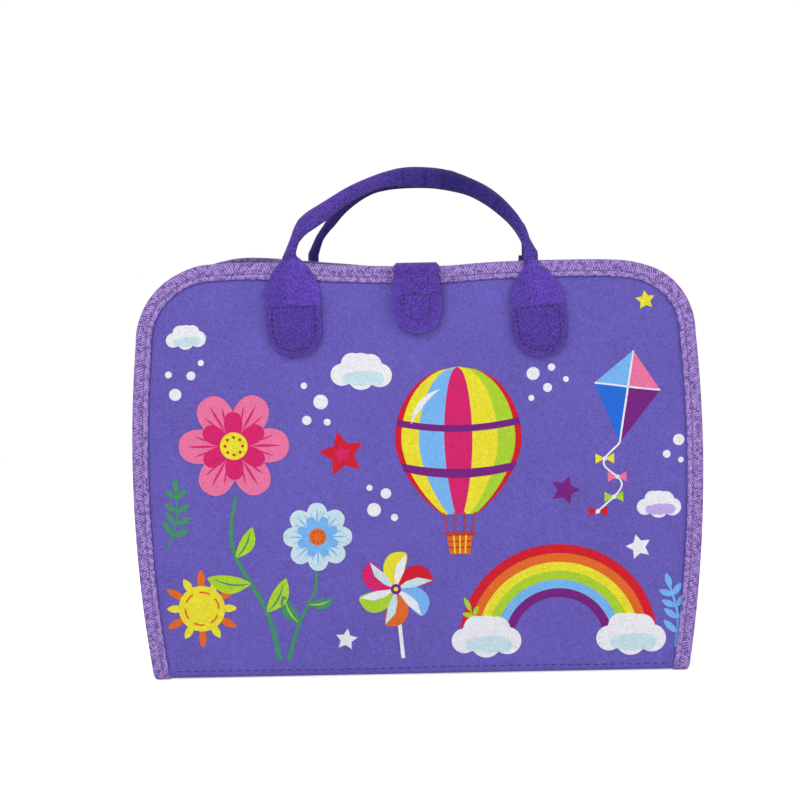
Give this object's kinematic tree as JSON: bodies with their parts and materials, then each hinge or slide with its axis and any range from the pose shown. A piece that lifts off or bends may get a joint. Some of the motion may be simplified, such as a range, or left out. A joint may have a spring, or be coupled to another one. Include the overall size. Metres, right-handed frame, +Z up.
{
  "type": "felt busy board",
  "caption": "Felt busy board that folds shut as a carry case, with two handles, a closing tab, and a zip, a buckle, a clock and press-on shapes on its inner pages.",
  "frame": {"origin": "middle of the underside of the spine, on the surface that the closed case stands on", "axes": "+X to the right seen from the front, +Y to the back, +Z up; the front cover faces -Y"},
  "size_m": [0.28, 0.0392, 0.2504],
  "materials": {
    "cover_felt": "purple felt, slightly fuzzy, matt",
    "page_felt": "pale blue felt of the inner pages, matt",
    "handle_felt": "darker purple felt of the handles and the tab, matt",
    "binding_tape": "woven lilac binding tape",
    "hook_loop": "white hook and loop tape",
    "dial_felt": "cream felt",
    "red_felt": "red felt",
    "yellow_felt": "yellow felt",
    "green_felt": "green felt",
    "pocket_felt": "pink felt",
    "zip_cloth": "woven zip tape",
    "zip_plastic": "moulded teeth and stops",
    "metal": "nickel-plated slider, pull and brad",
    "buckle_plastic": "moulded side-release buckle",
    "webbing": "woven webbing"
  },
  "bodies": {
    "spine": {"spine_felt": "cover_felt", "spine_lining": "page_felt", "spine_tape_left": "binding_tape", "spine_tape_right": "binding_tape"},
    "front_cover": {"front_cover_felt": "cover_felt", "front_page_felt": "page_felt", "front_binding_tape": "binding_tape", "front_pad_left": "handle_felt", "front_pad_right": "handle_felt", "tab_loop_patch": "hook_loop", "zipper_tape_upper": "zip_cloth", "zipper_tape_lower": "zip_cloth", "zipper_teeth_upper": "zip_plastic", "zipper_teeth_lower": "zip_plastic", "zipper_stop_left": "zip_plastic", "zipper_stop_right": "zip_plastic", "pocket_panel": "pocket_felt", "buckle_webbing_left": "webbing", "buckle_webbing_right": "webbing", "buckle_female": "buckle_plastic"},
    "front_handle": {"front_handle_strap": "handle_felt"},
    "slider": {"zipper_slider": "metal"},
    "pull": {"zipper_pull": "metal"},
    "buckle_plug": {"buckle_male": "buckle_plastic"},
    "back_cover": {"back_cover_felt": "cover_felt", "back_page_felt": "page_felt", "back_binding_tape": "binding_tape", "back_pad_left": "handle_felt", "back_pad_right": "handle_felt", "tab_base": "handle_felt", "clock_dial": "dial_felt", "clock_brad": "metal", "circle_loop_patch": "hook_loop", "square_loop_patch": "hook_loop", "triangle_loop_patch": "hook_loop"},
    "back_handle": {"back_handle_strap": "handle_felt"},
    "tab": {"tab_bridge": "handle_felt"},
    "tab_end": {"tab_flap": "handle_felt", "tab_hook_patch": "hook_loop"},
    "hour_hand": {"clock_hour_hand": "red_felt"},
    "minute_hand": {"clock_minute_hand": "red_felt"},
    "circle": {"circle_shape": "red_felt", "circle_hook_patch": "hook_loop"},
    "square": {"square_shape": "yellow_felt", "square_hook_patch": "hook_loop"},
    "triangle": {"triangle_shape": "green_felt", "triangle_hook_patch": "hook_loop"}
  },
  "joints": [
    {"name": "front_fold", "type": "hinge", "parent": "spine", "child": "front_cover", "pos_m": [0, -0.015, 0], "axis": [1, 0, 0], "range_deg": [0, 90], "deforming": ["tab_bridge", "tab_flap", "tab_hook_patch"]},
    {"name": "back_fold", "type": "hinge", "parent": "spine", "child": "back_cover", "pos_m": [0, 0.015, 0], "axis": [-1, 0, 0], "range_deg": [0, 90], "deforming": ["tab_bridge", "tab_flap", "tab_hook_patch"]},
    {"name": "front_handle_swing", "type": "hinge", "parent": "front_cover", "child": "front_handle", "pos_m": [0, -0.0196, 0.2093], "axis": [-1, 0, 0], "range_deg": [-120, 0]},
    {"name": "back_handle_swing", "type": "hinge", "parent": "back_cover", "child": "back_handle", "pos_m": [0, 0.0196, 0.2093], "axis": [1, 0, 0], "range_deg": [-120, 0]},
    {"name": "tab_peel", "type": "hinge", "parent": "back_cover", "child": "tab", "pos_m": [0, 0.0177, 0.2023], "axis": [-1, 0, 0], "range_deg": [0, 90]},
    {"name": "tab_straighten", "type": "hinge", "parent": "tab", "child": "tab_end", "pos_m": [0, -0.0169, 0.20245], "axis": [-1, 0, 0], "range_deg": [0, 76.5]},
    {"name": "hour_hand_turn", "type": "hinge", "parent": "back_cover", "child": "hour_hand", "pos_m": [-0.068, 0.0065, 0.115], "axis": [0, 1, 0], "continuous": true},
    {"name": "minute_hand_turn", "type": "hinge", "parent": "back_cover", "child": "minute_hand", "pos_m": [-0.068, 0.0046, 0.115], "axis": [0, 1, 0], "continuous": true},
    {"name": "circle_lift", "type": "slide", "parent": "back_cover", "child": "circle", "axis": [0, -1, 0], "range_m": [0, 0.008]},
    {"name": "square_lift", "type": "slide", "parent": "back_cover", "child": "square", "axis": [0, -1, 0], "range_m": [0, 0.008]},
    {"name": "triangle_lift", "type": "slide", "parent": "back_cover", "child": "triangle", "axis": [0, -1, 0], "range_m": [0, 0.008]},
    {"name": "zipper_slide", "type": "slide", "parent": "front_cover", "child": "slider", "axis": [1, 0, 0], "range_m": [0, 0.112]},
    {"name": "pull_flip", "type": "hinge", "parent": "slider", "child": "pull", "pos_m": [-0.056, -0.0024, 0.038], "axis": [0, 0, 1], "range_deg": [0, 180]},
    {"name": "buckle_release", "type": "slide", "parent": "front_cover", "child": "buckle_plug", "axis": [1, 0, 0], "range_m": [0, 0.03]}
  ],
  "couplings": [
    {"joint": "tab_straighten", "follows": "tab_peel", "ratio": 0.85}
  ]
}
